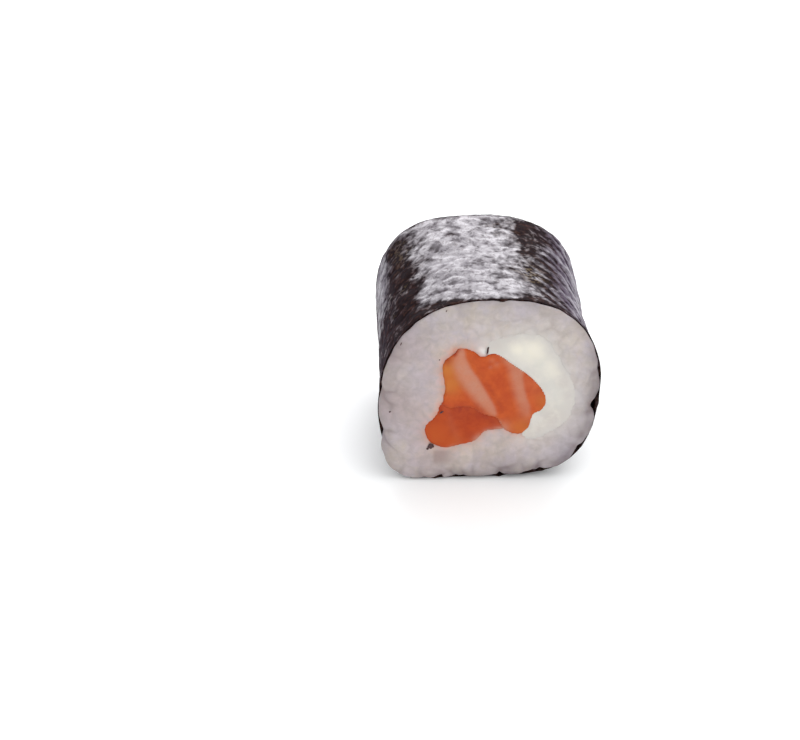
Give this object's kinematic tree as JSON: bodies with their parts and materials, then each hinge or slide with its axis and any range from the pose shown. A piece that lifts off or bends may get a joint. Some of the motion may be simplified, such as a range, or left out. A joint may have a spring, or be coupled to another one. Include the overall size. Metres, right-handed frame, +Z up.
{
  "type": "maki sushi roll",
  "caption": "Slice of a maki roll lying on its side: nori round sushi rice, with strips of salmon and cream cheese running through it.",
  "frame": {"origin": "under the middle of the roll, on the surface that it lies on", "axes": "+Z up; Y along the roll's axis, from the cut face that shows at -Y to the one at +Y; X across the roll, to the right of someone who looks at the -Y cut face"},
  "size_m": [0.0308, 0.0272, 0.0292],
  "materials": {
    "nori": "dark brown-black sheet with a fine wrinkled grain and a broad soft gloss",
    "rice": "moist, slightly see-through white grains",
    "salmon": "moist orange flesh with paler bands of fat",
    "cheese": "soft cream white, smeared by the knife"
  },
  "bodies": {
    "root": {"nori_wrap": "nori", "sushi_rice": "rice", "salmon_strip_upper": "salmon", "salmon_strip_lower": "salmon", "cream_cheese": "cheese"}
  },
  "joints": []
}
